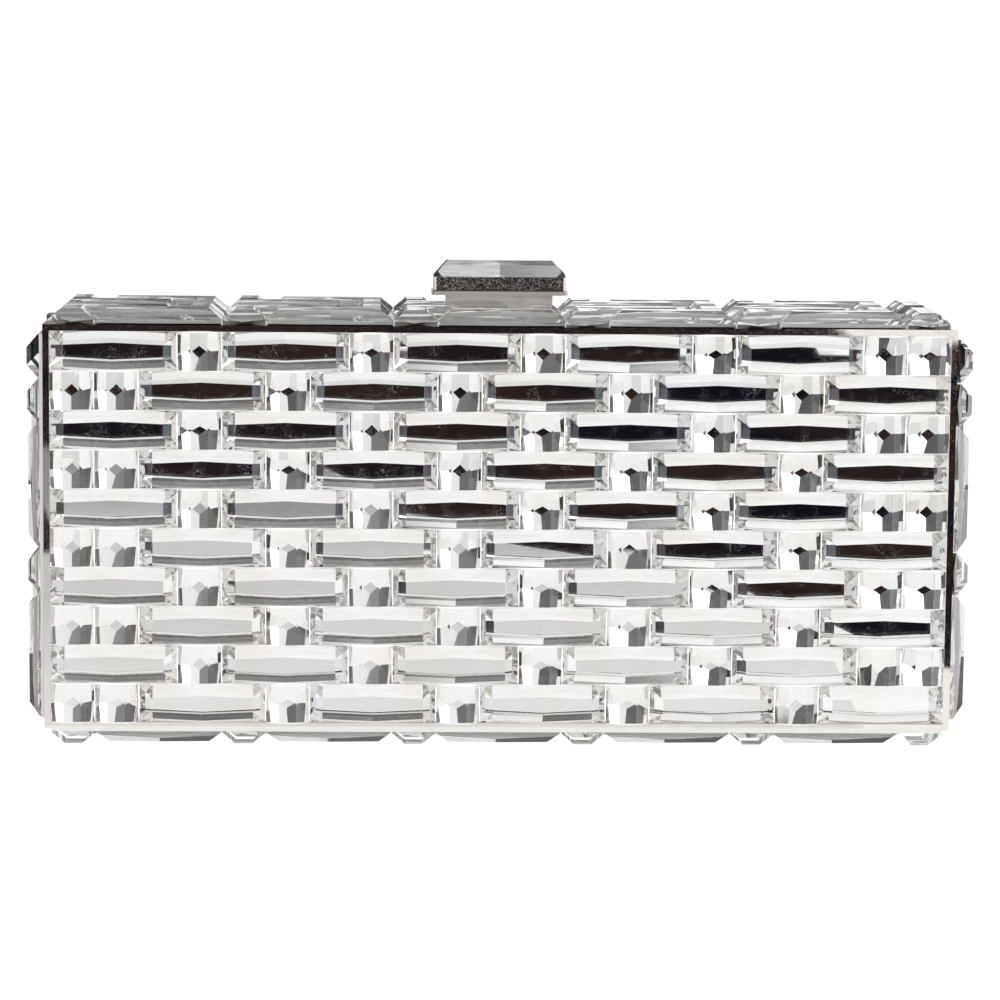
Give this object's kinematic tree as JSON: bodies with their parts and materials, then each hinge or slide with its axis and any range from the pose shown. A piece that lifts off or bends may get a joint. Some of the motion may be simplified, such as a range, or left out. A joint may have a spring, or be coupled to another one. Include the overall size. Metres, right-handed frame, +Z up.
{
  "type": "minaudiere",
  "caption": "Hard box clutch of two hinged metal shells covered with rows of cut rectangular crystals, with a sliding crystal bar clasp on top.",
  "frame": {"origin": "on the standing plane, under the middle of the case, with the seam between the two shells in the plane y = 0", "axes": "+Z up, +X along the length to the right as seen from the front, -Y towards the front face"},
  "size_m": [0.1906, 0.045, 0.0976],
  "materials": {
    "crystal": "cut and polished clear crystal over a mirror foil",
    "crystal_bar": "cut and polished crystal over a mirror foil",
    "polished_shell": "polished pale nickel plate with fine hairline scratches",
    "polished_frame": "polished pale nickel plate",
    "clasp_metal": "polished nickel plate, dark in reflection, finely speckled",
    "hinge_metal": "satin nickel plate",
    "latch_metal": "brushed",
    "lining": "silver grey satin over thin padding"
  },
  "bodies": {
    "back": {"back_shell": "polished_shell", "back_mouth_frame": "polished_frame", "back_lining": "lining", "back_face_long_crystals": "crystal", "back_face_short_crystals": "crystal", "back_top_long_crystals": "crystal", "back_top_short_crystals": "crystal", "back_base_long_crystals": "crystal", "back_base_short_crystals": "crystal", "back_left_long_crystals": "crystal", "back_left_short_crystals": "crystal", "back_right_long_crystals": "crystal", "back_right_short_crystals": "crystal", "back_hinge_leaf": "hinge_metal", "hinge_pin": "hinge_metal", "clasp_base": "clasp_metal", "latch_housing": "latch_metal", "latch_spring": "latch_metal", "housing_screws": "latch_metal"},
    "front": {"front_shell": "polished_shell", "front_mouth_frame": "polished_frame", "front_lining": "lining", "front_face_long_crystals": "crystal", "front_face_short_crystals": "crystal", "front_top_long_crystals": "crystal", "front_top_short_crystals": "crystal", "front_base_long_crystals": "crystal", "front_base_short_crystals": "crystal", "front_left_long_crystals": "crystal", "front_left_short_crystals": "crystal", "front_right_long_crystals": "crystal", "front_right_short_crystals": "crystal", "front_hinge_leaf": "hinge_metal", "keeper_plate": "latch_metal", "keeper_screws": "latch_metal"},
    "clasp": {"clasp_bezel": "clasp_metal", "clasp_crystal": "crystal_bar", "clasp_posts": "latch_metal", "latch_slider": "latch_metal"}
  },
  "joints": [
    {"name": "shell_hinge", "type": "hinge", "parent": "back", "child": "front", "pos_m": [0, 0, 0.0019], "axis": [1, 0, 0], "range_deg": [0, 95]},
    {"name": "clasp_slide", "type": "slide", "parent": "back", "child": "clasp", "axis": [1, 0, 0], "range_m": [0, 0.005], "stiffness_N_per_m": 150, "springref_m": -0.005, "deforming": ["latch_spring"]}
  ]
}
